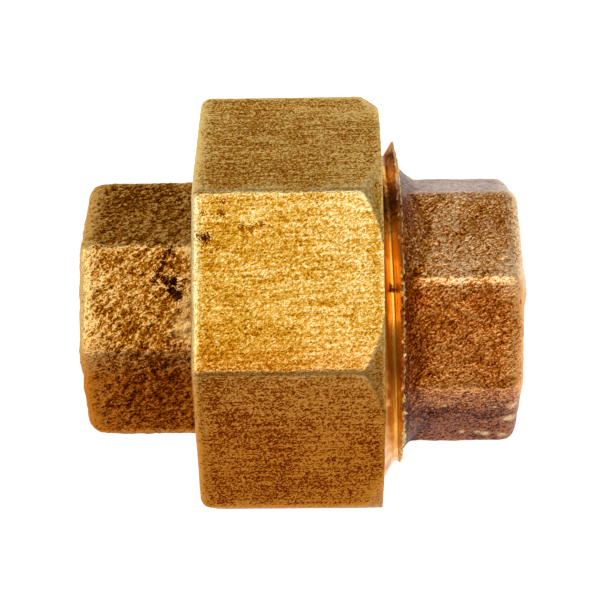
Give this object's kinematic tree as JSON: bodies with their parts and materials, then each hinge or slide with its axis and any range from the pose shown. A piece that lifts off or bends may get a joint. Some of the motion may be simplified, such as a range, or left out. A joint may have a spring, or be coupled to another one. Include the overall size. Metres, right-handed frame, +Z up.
{
  "type": "pipe union",
  "caption": "Octagonal brass pipe union: two tapped end pieces drawn together, ball into cone, by a threaded nut.",
  "frame": {"origin": "on the pipe's centreline, half way between the two end faces with the nut tight", "axes": "+X along the pipe from the tail piece to the thread piece, +Z up, square to the nut's top flat"},
  "size_m": [0.0494, 0.0468, 0.0468],
  "materials": {
    "rough_cast_brass": "sand-cast, dulled, bright where threads and seats are cut",
    "nut_brass": "cast and turned, faintly streaked along the pipe, dulled"
  },
  "bodies": {
    "thread_piece": {"thread_piece": "rough_cast_brass"},
    "tail_piece": {"tail_piece": "rough_cast_brass"},
    "union_nut": {"union_nut": "nut_brass"}
  },
  "joints": [
    {"name": "tail_slide", "type": "slide", "parent": "thread_piece", "child": "tail_piece", "axis": [-1, 0, 0], "range_m": [0, 0.0127]},
    {"name": "nut_turn", "type": "hinge", "parent": "tail_piece", "child": "union_nut", "pos_m": [0, 0, 0], "axis": [-1, 0, 0], "range_deg": [0, 1440]}
  ],
  "couplings": [
    {"joint": "tail_slide", "follows": "nut_turn", "m_per_rad": 0.0005053}
  ]
}
